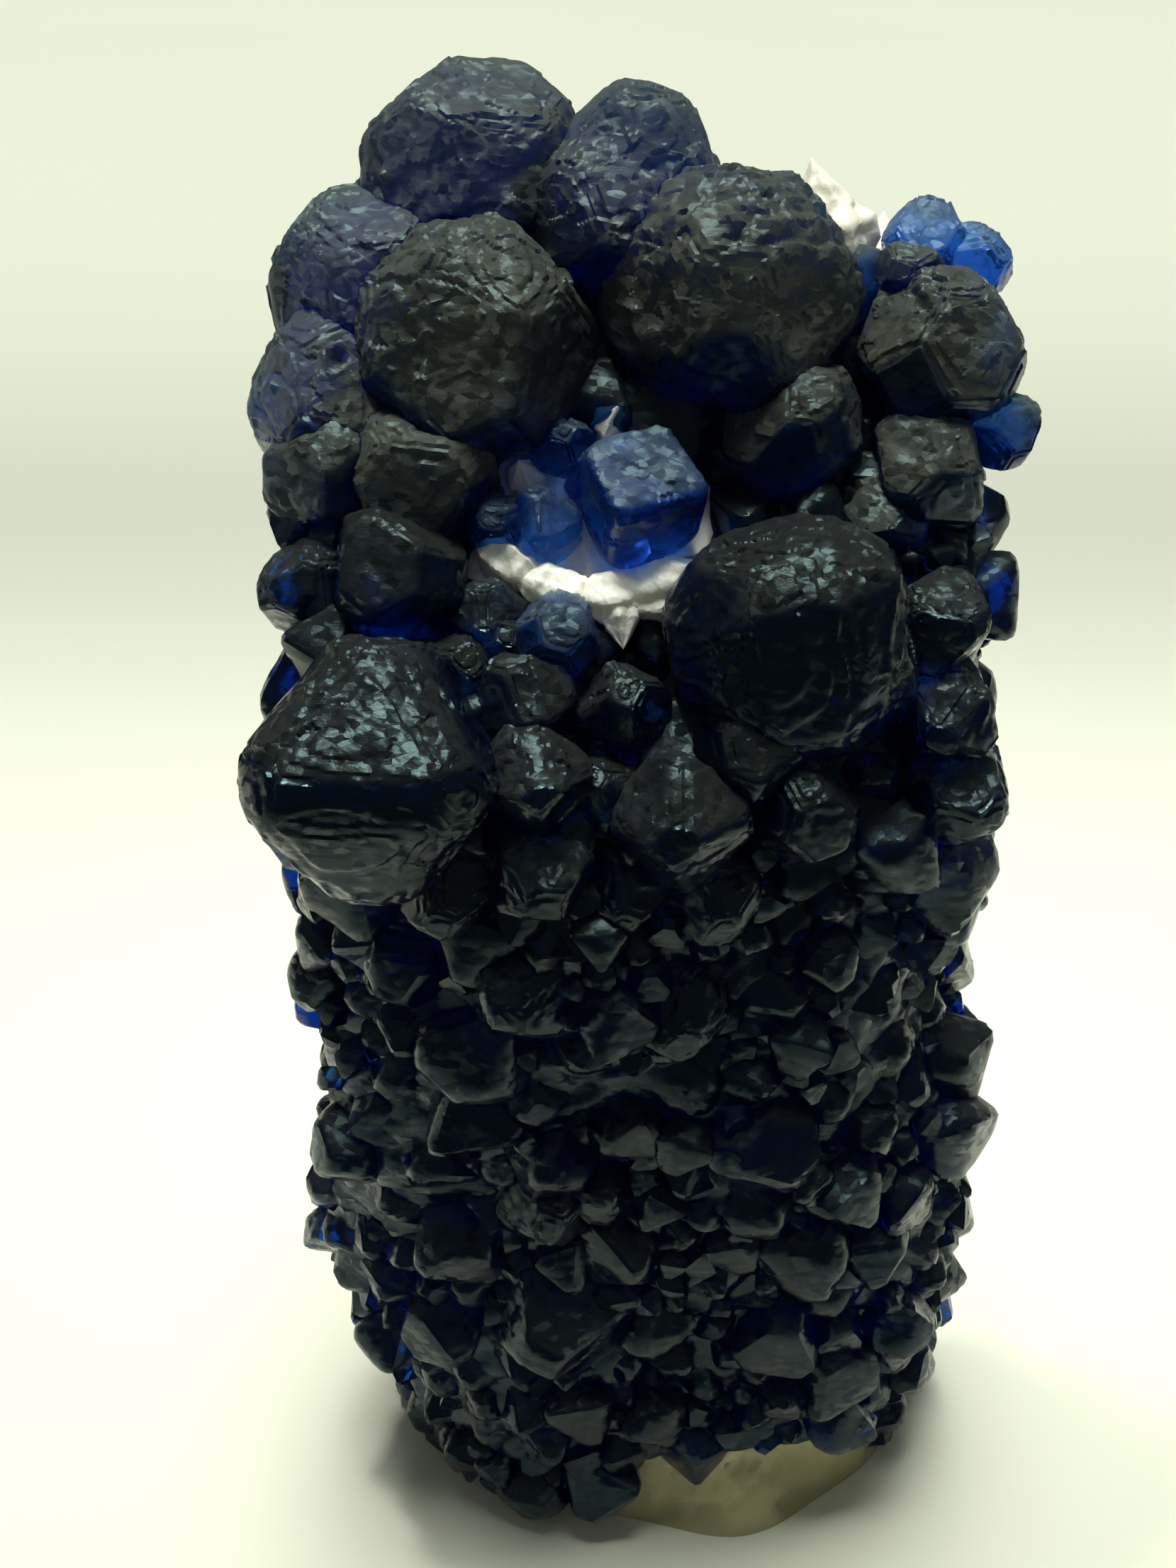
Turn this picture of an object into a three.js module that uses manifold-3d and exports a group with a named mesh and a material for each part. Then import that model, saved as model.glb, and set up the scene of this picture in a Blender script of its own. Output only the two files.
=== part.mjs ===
// Blue fluorite on milky quartz: a tall hand specimen that stands on its trimmed foot.
// A quartz column, bare and broken at the back, carries an intergrown crust of octahedral
// fluorite on its front, its sides and its sloping top. The largest crystals crown the slope.
// Between them a pocket shows the white quartz, with a few small crystals that stand alone on it.
// Millimetres, +Z up, front towards -Y, origin at the middle of the foot's flat face.
import * as THREE from "three";
import { mergeVertices } from "three/addons/utils/BufferGeometryUtils.js";
import Module from "manifold-3d";

const wasm = await Module();
wasm.setup();

// The quartz column. Its horizontal section is a squarish ellipse between a front line and
// the back fractures, cut off above by the slope that the largest crystals grow on.
const column = {
  topZ: 84.5,
  sectionPower: 2.6,
  frontFootY: -11.8,
  frontTopY: -15,
  backY: 10.5,
  slopeFootZ: 58,
  slopeRise: 1.19,
  blendPower: 10,
};
// Half width of the column and sideways shift of its middle, at rising heights
const profile = [
  { z: 0, halfWidth: 17, shift: 1.4 },
  { z: 9, halfWidth: 18.8, shift: 1.8 },
  { z: 17, halfWidth: 20.6, shift: 1 },
  { z: 31, halfWidth: 20.6, shift: 1 },
  { z: 46, halfWidth: 18.9, shift: -0.2 },
  { z: 54, halfWidth: 19.4, shift: -0.5 },
  { z: 64, halfWidth: 18, shift: -0.5 },
  { z: 88, halfWidth: 17.4, shift: 0 },
];

// Fracture planes of the bare back: direction in plan, distance from the part's Z axis at
// the foot, and how much the distance grows with height.
const backFractures = [
  { turn: 68, reach: 10.6, lean: 0.03 },
  { turn: 97, reach: 11.4, lean: -0.015 },
  { turn: 128, reach: 12.6, lean: -0.01 },
];

// The trimmed foot stands proud of the crust at the front right
const foot = { turn: -52, spread: 38, reach: 3.4, height: 11 };

// Low swells of the broken quartz surface
const swells = [
  { reach: 0.55, around: 3, up: 0.13, phase: 0.4 },
  { reach: 0.4, around: 5, up: -0.21, phase: 2.1 },
  { reach: 0.3, around: 8, up: 0.37, phase: 4.0 },
];

const GAP = 0.3; // clearance between solids that touch
const FOOT_CUT = 0.4; // the crust ends this far above the flat face

// Habits of fluorite: distances of the octahedral, rhombic and cubic faces from the centre,
// as shares of the crystal's size, and how sharply they meet
const habits = {
  sharp: { octahedral: 0.74, rhombic: 9, cubic: 1.22, crisp: 40 },
  bevelled: { octahedral: 0.76, rhombic: 0.9, cubic: 1.12, crisp: 30 },
  rounded: { octahedral: 0.84, rhombic: 0.93, cubic: 1.02, crisp: 14 },
};

// Crystals that stand out in their own right. at: centre; size: half width; out: what points
// along aim, a corner, a face or an edge; spin: turn about aim in degrees.
const greatCrystals = [
  { name: "summit_left", at: [-9.4, 9, 88.4], size: 7, habit: "bevelled", out: "edge", aim: [-0.3, -0.8, 0.9], spin: 20 },
  { name: "summit_middle", at: [-1.8, 7, 87.8], size: 6.8, habit: "bevelled", out: "face", aim: [0.1, -0.8, 0.5], spin: 10 },
  { name: "crown_right", at: [4.8, 2.6, 83], size: 8, habit: "bevelled", out: "edge", aim: [-0.2, -0.9, 0.3], spin: 75 },
  { name: "crown_left", at: [-9.3, 1.3, 81], size: 7.6, habit: "bevelled", out: "corner", aim: [0.35, -0.5, 0.8], spin: 15 },
  { name: "shoulder_left_high", at: [-14.8, 6, 84.4], size: 5.4, habit: "bevelled", out: "edge", aim: [-0.5, -0.6, 0.6], spin: 0 },
  { name: "shoulder_left", at: [-17.1, 2.6, 79.6], size: 5.3, habit: "rounded", out: "face", aim: [-0.8, -0.5, 0.3], spin: 30 },
  { name: "shoulder_left_low", at: [-17.2, -1.6, 74.6], size: 4.6, habit: "rounded", out: "face", aim: [-0.6, -0.8, 0], spin: 50 },
  { name: "step_left", at: [-12.4, -2.6, 75], size: 4.8, habit: "bevelled", out: "edge", aim: [0, -0.7, 0.6], spin: 90 },
  { name: "corner_right", at: [16.4, 0.8, 80.2], size: 5.4, habit: "rounded", out: "face", aim: [0.3, -0.9, 0.4], spin: 40 },
  { name: "corner_left_front", at: [-14.4, -14.4, 62.6], size: 7.2, habit: "bevelled", out: "edge", aim: [-0.1, -0.9, 0.35], spin: 80 },
  { name: "corner_right_front", at: [8, -9.8, 68.2], size: 7, habit: "bevelled", out: "face", aim: [-0.15, -0.9, 0.3], spin: 12 },
];

const mediumCrystals = [
  { at: [16, 5.6, 85.2], size: 2.9, out: "face", aim: [0, -0.7, 0.7], spin: 0 },
  { at: [18.6, 5.4, 84.2], size: 2.7, out: "corner", aim: [0.5, -0.5, 0.5], spin: 20 },
  { at: [20.2, -0.4, 76.6], size: 2.5, out: "edge", aim: [0.7, -0.6, 0], spin: 60 },
  { at: [15.8, -2.6, 75], size: 3.8, out: "face", aim: [0.3, -0.9, -0.2], spin: 70 },
  { at: [14.7, 2.7, 84.4], size: 2.1, out: "face", aim: [0, -0.3, 0.9], spin: 30 },
  { at: [8.3, -1.2, 76.8], size: 4.5, out: "corner", aim: [0.1, -0.8, 0.75], spin: 45 },
  { at: [-16.6, 4.6, 82.6], size: 3.6, out: "corner", aim: [-0.6, -0.7, 0.4], spin: 25 },
  { at: [-13.4, -6.8, 70.4], size: 4.5, out: "face", aim: [-0.2, -0.8, 0.5], spin: 25 },
  { at: [-6.6, -11.3, 65], size: 3.2, out: "edge", aim: [0, -0.8, 0.6], spin: 30 },
  { at: [-5.9, -14.6, 62], size: 3.6, out: "corner", aim: [0.1, -0.9, 0.2], spin: 10 },
  { at: [1.7, -16, 60.4], size: 4.1, out: "corner", aim: [-0.1, -0.95, 0.1], spin: 0 },
  { at: [5.7, -13.6, 63.6], size: 3.4, out: "face", aim: [0.1, -0.8, 0.6], spin: 55 },
  { at: [8.4, -14.6, 60.4], size: 3.4, out: "face", aim: [0.3, -0.9, 0], spin: 80 },
  { at: [-9.7, -10.3, 66.4], size: 2.3, out: "corner", aim: [0.3, -0.7, 0.7], spin: 0 },
  { at: [-7.5, -9.2, 67.2], size: 2, out: "corner", aim: [0, -0.7, 0.8], spin: 40 },
  { at: [-5.5, -16, 57.2], size: 3.2, out: "corner", aim: [0.1, -1, -0.2], spin: 40 },
  { at: [-2.2, -14, 61], size: 2.6, out: "edge", aim: [0, -1, 0.2], spin: 80 },
  { at: [-3.8, -9.1, 67.8], size: 3.2, out: "face", aim: [0.1, -0.8, 0.6], spin: 0 },
  { at: [-1, -11.6, 64.8], size: 2.9, out: "corner", aim: [0, -0.6, 0.8], spin: 20 },
  { at: [-8.5, -7.8, 68.6], size: 2.4, out: "edge", aim: [0, -0.8, 0.6], spin: 15 },
  { at: [-7.2, 0, 77], size: 2, out: "corner", aim: [0.2, -0.7, 0.7], spin: 0 },
  { at: [-9.1, -3.6, 72.6], size: 2.2, out: "edge", aim: [0, -0.8, 0.6], spin: 70 },
  { at: [13.4, -3.2, 72.4], size: 3.2, out: "corner", aim: [0.4, -0.8, 0.2], spin: 35 },
  { at: [15.8, -8.6, 68.4], size: 3.4, out: "corner", aim: [0.6, -0.7, 0.3], spin: 5 },
  { at: [16.6, -11, 64], size: 3, out: "face", aim: [0.5, -0.8, 0.2], spin: 45 },
  { at: [17.4, -11.4, 59.4], size: 3.4, out: "corner", aim: [0.5, -0.8, 0], spin: 15 },
  { at: [-18.4, -6, 69.4], size: 3.2, out: "corner", aim: [-0.7, -0.7, 0.2], spin: 20 },
  { at: [-1, -15, 55.8], size: 3, out: "corner", aim: [0, -1, -0.3], spin: 12 },
  { at: [3.6, -15, 55], size: 3.2, out: "corner", aim: [0.2, -1, -0.3], spin: 33 },
  { at: [-10.4, -14.8, 55.4], size: 3.2, out: "corner", aim: [-0.2, -1, -0.2], spin: 5 },
  { at: [-6.6, -14.6, 49], size: 4.1, out: "corner", aim: [-0.3, -1, 0], spin: 30 },
  { at: [1.9, -14.6, 47.5], size: 3.6, out: "corner", aim: [0.1, -1, -0.2], spin: 10 },
  { at: [-5.4, -13.4, 31.4], size: 3.6, out: "corner", aim: [0, -1, 0.1], spin: 20 },
  { at: [-4.8, -12.6, 21], size: 5.4, out: "corner", aim: [-0.2, -1, 0], spin: 8 },
];

// Small crystals that stand alone on the white quartz of the pocket
const pocketCrystals = [
  { name: "pocket_crystal_block", at: [-0.3, -4.2, 73.8], size: 3.2, out: "edge", aim: [0.1, -0.7, 0.7], spin: 65 },
  { name: "pocket_crystal_back", at: [-4.2, -1.4, 75.9], size: 1.9, out: "corner", aim: [0, -0.7, 0.7], spin: 20 },
  { name: "pocket_crystal_left", at: [-5.3, -4.5, 72.3], size: 2.3, out: "edge", aim: [-0.1, -0.8, 0.6], spin: 10 },
];

// The carpet of octahedra that fills the front, the sides and the top, in two growths: the
// second one fills the gaps of the first. spacing is a share of two neighbours' sizes, and
// height is how far the outermost corner or face stands above the quartz.
const carpet = {
  seed: 41,
  lowestZ: 2.6,
  backLimit: 0.6,
  tilt: 0.55,
  faceShare: 0.5,
  growths: [
    { tries: 2600, size: 3.7, sizeSpread: 0.4, spacing: 0.64, height: 3 },
    { tries: 2600, size: 3, sizeSpread: 0.3, spacing: 0.65, height: 2.5 },
  ],
};
// Bases of the crystals, grown into one layer over the quartz
const layer = { thickness: 0.7, backY: 7.5, footZ: 5.5, footX: 1 };
const pocket = { centre: [-3.2, -4.4, 72], halfWidth: 7.4, halfHeight: 5.2 };

const radians = THREE.MathUtils.degToRad;

// Repeatable random numbers, uniform from 0 to 1: a linear congruential generator
function randomSource(seed) {
  let state = seed;
  return () => {
    state = (state * 48271) % 2147483647;
    return state / 2147483647;
  };
}

// Shape of the column

const slopeY = (z) => column.frontTopY + (z - column.slopeFootZ) / column.slopeRise;

function frontY(z) {
  const share = Math.min(z / column.slopeFootZ, 1);
  return column.frontFootY + (column.frontTopY - column.frontFootY) * share;
}

// A value of the profile at a height, eased between its points
function profileAt(z, key) {
  const above = Math.max(1, profile.findIndex((point) => point.z >= z));
  const [low, high] = [profile[above - 1], profile[above]];
  return THREE.MathUtils.lerp(low[key], high[key], THREE.MathUtils.smoothstep(z, low.z, high.z));
}

function axisAt(z) {
  const y = (Math.max(frontY(z), slopeY(z)) + column.backY) / 2;
  return [profileAt(z, "shift"), y];
}

// Distance from the axis to the quartz surface, at a plan angle and a height: a smooth
// minimum of the section's ellipse, the slope and the back fractures, plus foot and swells
function sectionRadius(angle, z) {
  const [x, y] = axisAt(z);
  const across = Math.cos(angle);
  const back = Math.sin(angle);
  const middleY = (frontY(z) + column.backY) / 2;
  const halfDepth = (column.backY - frontY(z)) / 2;
  const n = column.sectionPower;
  const halfWidth = profileAt(z, "halfWidth");
  let radius = (Math.abs(across / halfWidth) ** n + Math.abs(back / halfDepth) ** n) ** (-1 / n);
  radius += back * (middleY - y);
  const limits = [radius];
  if (back < 0) limits.push((slopeY(z) - y) / back);
  for (const plane of backFractures) {
    const turn = radians(plane.turn);
    const facing = Math.cos(turn) * across + Math.sin(turn) * back;
    const room = plane.reach + plane.lean * z - Math.cos(turn) * x - Math.sin(turn) * y;
    if (facing > 0.05) limits.push(room / facing);
  }
  let sum = 0;
  for (const limit of limits) if (limit > 0) sum += limit ** -column.blendPower;
  let result = sum ** (-1 / column.blendPower);
  const fromFoot = Math.atan2(Math.sin(angle - radians(foot.turn)), Math.cos(angle - radians(foot.turn)));
  const footShare = Math.max(0, 1 - z / foot.height) ** 1.5;
  result += foot.reach * footShare * Math.exp(-((fromFoot / radians(foot.spread)) ** 2));
  for (const swell of swells) {
    result += swell.reach * Math.sin(swell.around * angle + swell.up * z + swell.phase);
  }
  return result;
}

function columnPoint(angle, z, grow = 0) {
  const [x, y] = axisAt(z);
  const radius = sectionRadius(angle, z) + grow;
  return new THREE.Vector3(x + radius * Math.cos(angle), y + radius * Math.sin(angle), z);
}

function columnNormal(angle, z) {
  const around = columnPoint(angle + 0.02, z).sub(columnPoint(angle - 0.02, z));
  const up = columnPoint(angle, z + 0.3).sub(columnPoint(angle, z - 0.3));
  return around.cross(up).normalize();
}

// Solids

function solidFrom(geometry) {
  const bare = geometry.clone();
  bare.deleteAttribute("normal");
  bare.deleteAttribute("uv");
  const merged = mergeVertices(bare, 1e-4);
  const vertProperties = merged.attributes.position.array;
  const triVerts = new Uint32Array(merged.index.array);
  return new wasm.Manifold(new wasm.Mesh({ numProp: 3, vertProperties, triVerts }));
}

function geometryFrom(solid) {
  const mesh = solid.getMesh();
  const count = mesh.numProp;
  const positions = new Float32Array(mesh.numVert * 3);
  for (let i = 0; i < mesh.numVert; i++) {
    positions.set(mesh.vertProperties.subarray(i * count, i * count + 3), i * 3);
  }
  const geometry = new THREE.BufferGeometry();
  geometry.setAttribute("position", new THREE.BufferAttribute(positions, 3));
  geometry.setIndex(new THREE.BufferAttribute(mesh.triVerts, 1));
  return geometry;
}

// The column as a cylinder whose rings are moved onto the quartz surface. grow enlarges it.
function columnSolid(grow) {
  const [sides, storeys] = [22, 15];
  const geometry = new THREE.CylinderGeometry(1, 1, 1, sides, storeys);
  const position = geometry.attributes.position;
  for (let i = 0; i < position.count; i++) {
    const height = (position.getY(i) + 0.5) * column.topZ;
    const end = Math.abs(position.getY(i)) > 0.49 ? Math.sign(position.getY(i)) : 0;
    const share = Math.hypot(position.getX(i), position.getZ(i));
    const angle = -Math.atan2(position.getZ(i), position.getX(i));
    const rim = columnPoint(angle, height, grow);
    const [x, y] = axisAt(height);
    position.setXYZ(i, x + (rim.x - x) * share, y + (rim.y - y) * share, height + end * grow);
  }
  return solidFrom(geometry);
}

// A doubly ended quartz point: a six sided prism with pyramids, along aim
function quartzPoint({ at, radius, length, aim, spin = 0 }, grow) {
  const r = radius + grow;
  const half = length / 2 + grow;
  const shoulder = Math.max(half - 1.3 * r, 0.2 * half);
  const outline = [
    [0, -half],
    [r, -shoulder],
    [r * 0.96, shoulder],
    [0, half],
  ].map(([x, y]) => new THREE.Vector2(x, y));
  const geometry = new THREE.LatheGeometry(outline, 6);
  geometry.rotateY(radians(spin));
  const direction = new THREE.Vector3(...aim).normalize();
  geometry.applyQuaternion(new THREE.Quaternion().setFromUnitVectors(new THREE.Vector3(0, 1, 0), direction));
  geometry.translate(...at);
  return solidFrom(geometry);
}

// White quartz points of the pocket and the milky ridge that rises behind the crown
const quartzPoints = [
  { at: [11.6, 7.4, 82.4], radius: 3, length: 15, aim: [-0.28, 0.12, 1], spin: 10 },
  { at: [14.2, 8.4, 80], radius: 3, length: 13, aim: [0, 0.2, 1], spin: 35 },
  { at: [-7.6, -4.2, 70.8], radius: 1.5, length: 5, aim: [-0.3, -0.8, 0.6], spin: 0 },
  { at: [-5, -6.6, 68.9], radius: 1.6, length: 5.2, aim: [0.1, -0.7, 0.8], spin: 20 },
  { at: [-1.6, -6.7, 69.2], radius: 1.7, length: 5, aim: [0.2, -0.8, 0.5], spin: 40 },
  { at: [1.4, -6.4, 69.7], radius: 1.8, length: 5.4, aim: [0.4, -0.8, 0.4], spin: 5 },
  { at: [-6.4, -1.6, 74], radius: 1.3, length: 4.6, aim: [-0.2, -0.7, 0.8], spin: 15 },
  { at: [-1.8, 0, 76.4], radius: 1.3, length: 4.6, aim: [0.2, -0.6, 0.8], spin: 50 },
];

function quartzSolid(grow) {
  let solid = columnSolid(grow);
  for (const point of quartzPoints) solid = solid.add(quartzPoint(point, grow));
  return solid;
}

// Crystals

const facePlanes = [];
for (const x of [-1, 0, 1]) {
  for (const y of [-1, 0, 1]) {
    for (const z of [-1, 0, 1]) {
      const kind = ["", "cubic", "rhombic", "octahedral"][Math.abs(x) + Math.abs(y) + Math.abs(z)];
      if (kind) facePlanes.push({ kind, normal: new THREE.Vector3(x, y, z).normalize() });
    }
  }
}

// Distance from the centre to the surface of a crystal of size 1, along a unit direction: the
// nearest face plane, with the edges eased by a smooth minimum
function habitRadius(direction, habit) {
  let sum = 0;
  for (const { kind, normal } of facePlanes) {
    const facing = direction.dot(normal);
    if (facing > 0) sum += (facing / habit[kind]) ** habit.crisp;
  }
  return sum ** (-1 / habit.crisp);
}

const outAxes = {
  corner: new THREE.Vector3(0, 0, 1),
  face: new THREE.Vector3(1, 1, 1).normalize(),
  edge: new THREE.Vector3(1, 1, 0).normalize(),
};

function crystalSolid({ at, size, habit = "sharp", out, aim, spin }, detail) {
  const geometry = new THREE.OctahedronGeometry(1, detail);
  const position = geometry.attributes.position;
  const direction = new THREE.Vector3();
  for (let i = 0; i < position.count; i++) {
    direction.fromBufferAttribute(position, i).normalize();
    direction.multiplyScalar(size * habitRadius(direction, habits[habit]));
    position.setXYZ(i, direction.x, direction.y, direction.z);
  }
  const towards = new THREE.Vector3(...aim).normalize();
  geometry.applyQuaternion(new THREE.Quaternion().setFromUnitVectors(outAxes[out], towards));
  geometry.applyQuaternion(new THREE.Quaternion().setFromAxisAngle(towards, radians(spin)));
  geometry.translate(...at);
  return solidFrom(geometry);
}

// Fills the front, the sides and the top with octahedra, wherever no crystal grows yet
function growCarpet(grown) {
  const random = randomSource(carpet.seed);
  const placed = grown.map(({ at, size }) => ({ at: new THREE.Vector3(...at), size }));
  const made = [];
  for (const growth of carpet.growths) {
    for (let i = 0; i < growth.tries; i++) {
      const angle = random() * 2 * Math.PI;
      const z = carpet.lowestZ + random() * (column.topZ - 1 - carpet.lowestZ);
      const size = growth.size * (1 + growth.sizeSpread * (random() - 0.5));
      const lean = new THREE.Vector3(random() - 0.5, random() - 0.5, random() - 0.5);
      const spin = random() * 360;
      const out = random() < carpet.faceShare ? "face" : "corner";
      const point = columnPoint(angle, z);
      const normal = columnNormal(angle, z);
      if (normal.y > carpet.backLimit || inPocket(point) || onBareFoot(angle, z)) continue;
      if (placed.some((c) => c.at.distanceTo(point) < growth.spacing * (c.size + size))) continue;
      placed.push({ at: point, size });
      const reach = size * (out === "face" ? habits.sharp.octahedral : habits.sharp.cubic);
      const at = point.clone().addScaledVector(normal, growth.height - reach);
      const aim = normal.addScaledVector(lean, carpet.tilt);
      made.push({ at: at.toArray(), size, out, aim: aim.toArray(), spin });
    }
  }
  return made;
}

function inPocket(point) {
  const apart = point.clone().sub(new THREE.Vector3(...pocket.centre));
  return (apart.x / pocket.halfWidth) ** 2 + (Math.hypot(apart.y, apart.z) / pocket.halfHeight) ** 2 < 1;
}

const onBareFoot = (angle, z) => z < 7.5 && angle > Math.PI * 1.5 - 0.1 && angle < Math.PI * 2 - 0.45;

const carpetCrystals = growCarpet([...greatCrystals, ...mediumCrystals, ...pocketCrystals]);

const block = (low, high) => {
  const size = high.map((value, i) => value - low[i]);
  const middle = high.map((value, i) => (value + low[i]) / 2);
  return solidFrom(new THREE.BoxGeometry(...size).translate(...middle));
};
const belowFoot = block([-99, -99, -99], [99, 99, FOOT_CUT]);
const quartzRoom = quartzSolid(GAP);
const pocketSolid = (crystal, grow = 0) =>
  crystalSolid({ habit: "bevelled", ...crystal, size: crystal.size + grow }, 1);

function layerSolid() {
  const round = new THREE.SphereGeometry(1, 12, 8);
  round.scale(pocket.halfWidth, pocket.halfHeight * 1.2, pocket.halfHeight).translate(...pocket.centre);
  return columnSolid(GAP + layer.thickness)
    .subtract(block([-99, layer.backY, -99], [99, 99, 99]))
    .subtract(block([layer.footX, -99, -99], [99, 99, layer.footZ]))
    .subtract(solidFrom(round));
}

const largest = (solid) => solid.decompose().reduce((a, b) => (a.volume() > b.volume() ? a : b));

function crustSolid() {
  const crystals = [
    ...greatCrystals.map((c) => crystalSolid(c, 2)),
    ...mediumCrystals.map((c) => crystalSolid({ habit: "bevelled", ...c }, 1)),
    ...carpetCrystals.map((c) => crystalSolid(c, 0)),
  ];
  const joined = wasm.Manifold.union([layerSolid(), ...crystals]);
  const pocketRoom = pocketCrystals.map((c) => pocketSolid(c, 1.5 * GAP));
  const room = wasm.Manifold.union([quartzRoom, belowFoot, ...pocketRoom]);
  return largest(joined.subtract(room));
}

// Materials

const fluorite = new THREE.MeshStandardMaterial({ color: 0x14285a, roughness: 0.35, metalness: 0 });
const paleFluorite = new THREE.MeshStandardMaterial({ color: 0x2c5596, roughness: 0.3, metalness: 0 });
const milkyQuartz = new THREE.MeshStandardMaterial({ color: 0xd9d2bd, roughness: 0.6, metalness: 0 });

function node(name, solid, material) {
  const mesh = new THREE.Mesh(geometryFrom(solid), material);
  mesh.name = name;
  return mesh;
}

const specimen = new THREE.Group();
specimen.add(node("quartz_matrix", quartzSolid(0), milkyQuartz));
specimen.add(node("fluorite_crust", crustSolid(), fluorite));
for (const crystal of pocketCrystals) {
  const solid = largest(pocketSolid(crystal).subtract(quartzRoom));
  specimen.add(node(crystal.name, solid, paleFluorite));
}

export default specimen;
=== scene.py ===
# Blue fluorite on milky quartz: the looks of the specimen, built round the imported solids.
# Places and sizes of crystals are in millimetres, in the frame of the part.
import bpy
import math
import numpy as np
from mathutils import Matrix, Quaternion, Vector


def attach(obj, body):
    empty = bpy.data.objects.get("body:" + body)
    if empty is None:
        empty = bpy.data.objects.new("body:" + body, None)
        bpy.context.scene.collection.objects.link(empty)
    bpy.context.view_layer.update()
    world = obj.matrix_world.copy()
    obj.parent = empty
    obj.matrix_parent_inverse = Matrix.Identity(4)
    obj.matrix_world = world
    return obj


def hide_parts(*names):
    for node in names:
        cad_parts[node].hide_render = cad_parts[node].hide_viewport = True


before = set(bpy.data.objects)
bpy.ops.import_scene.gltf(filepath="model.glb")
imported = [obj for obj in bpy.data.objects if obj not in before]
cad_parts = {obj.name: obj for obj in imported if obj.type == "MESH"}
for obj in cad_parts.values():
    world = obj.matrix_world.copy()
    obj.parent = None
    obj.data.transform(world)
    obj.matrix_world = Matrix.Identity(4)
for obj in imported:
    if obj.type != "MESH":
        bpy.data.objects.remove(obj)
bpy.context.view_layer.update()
mm = 0.001

# Mesh helpers


# Puts whole arrays of corners and triangles into a mesh. traits are values kept at each corner
# for the materials: numbers, or places in a crystal's own axes.
def meshObject(name, points, triangles, **traits):
    mesh = bpy.data.meshes.new(name)
    mesh.vertices.add(len(points))
    mesh.vertices.foreach_set("co", (points * mm).astype(np.float32).ravel())
    mesh.loops.add(triangles.size)
    mesh.loops.foreach_set("vertex_index", triangles.astype(np.int32).ravel())
    mesh.polygons.add(len(triangles))
    mesh.polygons.foreach_set("loop_start", np.arange(0, triangles.size, 3, dtype=np.int32))
    mesh.update(calc_edges=True)
    for trait, values in traits.items():
        kind, field = ("FLOAT", "value") if values.ndim == 1 else ("FLOAT_VECTOR", "vector")
        mesh.attributes.new(trait, kind, "POINT").data.foreach_set(field, values.astype(np.float32).ravel())
    piece = bpy.data.objects.new(name, mesh)
    bpy.context.scene.collection.objects.link(piece)
    return piece


# Joins closed surfaces that overlap into one closed mesh with no walls left inside it, and cuts
# away the core, an object that the mesh is grown on.
def grownTogether(name, surfaces, sharpAngle, core=None):
    grown = [meshObject(f"{name}_{number}", **surface) for number, surface in enumerate(surfaces)]
    others = bpy.data.collections.new(f"{name}_others")
    bpy.context.scene.collection.children.link(others)
    for part in grown[1:]:
        bpy.context.scene.collection.objects.unlink(part)
        others.objects.link(part)
    if len(grown) > 1:
        union = grown[0].modifiers.new("union", "BOOLEAN")
        union.operation, union.operand_type, union.solver = "UNION", "COLLECTION", "MANIFOLD"
        union.collection = others
    if core:
        hollow = grown[0].modifiers.new("hollow", "BOOLEAN")
        hollow.operation, hollow.operand_type, hollow.solver = "DIFFERENCE", "OBJECT", "MANIFOLD"
        hollow.object = core
    seen = bpy.context.evaluated_depsgraph_get()
    mesh = bpy.data.meshes.new_from_object(grown[0].evaluated_get(seen))
    mesh.name = name
    for part in grown:
        bpy.data.meshes.remove(part.data)
    bpy.data.collections.remove(others)
    mesh.shade_smooth()
    mesh.set_sharp_from_angle(angle=math.radians(sharpAngle))
    piece = bpy.data.objects.new(name, mesh)
    bpy.context.scene.collection.objects.link(piece)
    print(f"{name}: {len(surfaces)} surfaces grown together, {len(mesh.polygons)} triangles")
    return piece


# Soft noise: a sum of plane waves of about one length, in random directions.
def waves(points, length, seed, count=12):
    random = np.random.default_rng(seed)
    directions = random.normal(size=(count, 3))
    directions /= np.linalg.norm(directions, axis=1, keepdims=True)
    numbers = 2 * np.pi / (length * random.uniform(0.7, 1.5, count))
    phases = random.uniform(0, 2 * np.pi, count)
    return np.sin(points @ (directions * numbers[:, None]).T + phases).sum(axis=1) / math.sqrt(count)


# Terraces: a height cut into whole steps, with a flat tread and a short steep riser.
def stepped(height, step, flatShare=0.7):
    count = height / step
    rise = np.clip((count % 1 - flatShare) / (1 - flatShare), 0, 1)
    return step * (np.floor(count) + 0.1 * (count % 1) + 0.9 * rise * rise * (3 - 2 * rise))


# The crystals

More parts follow.
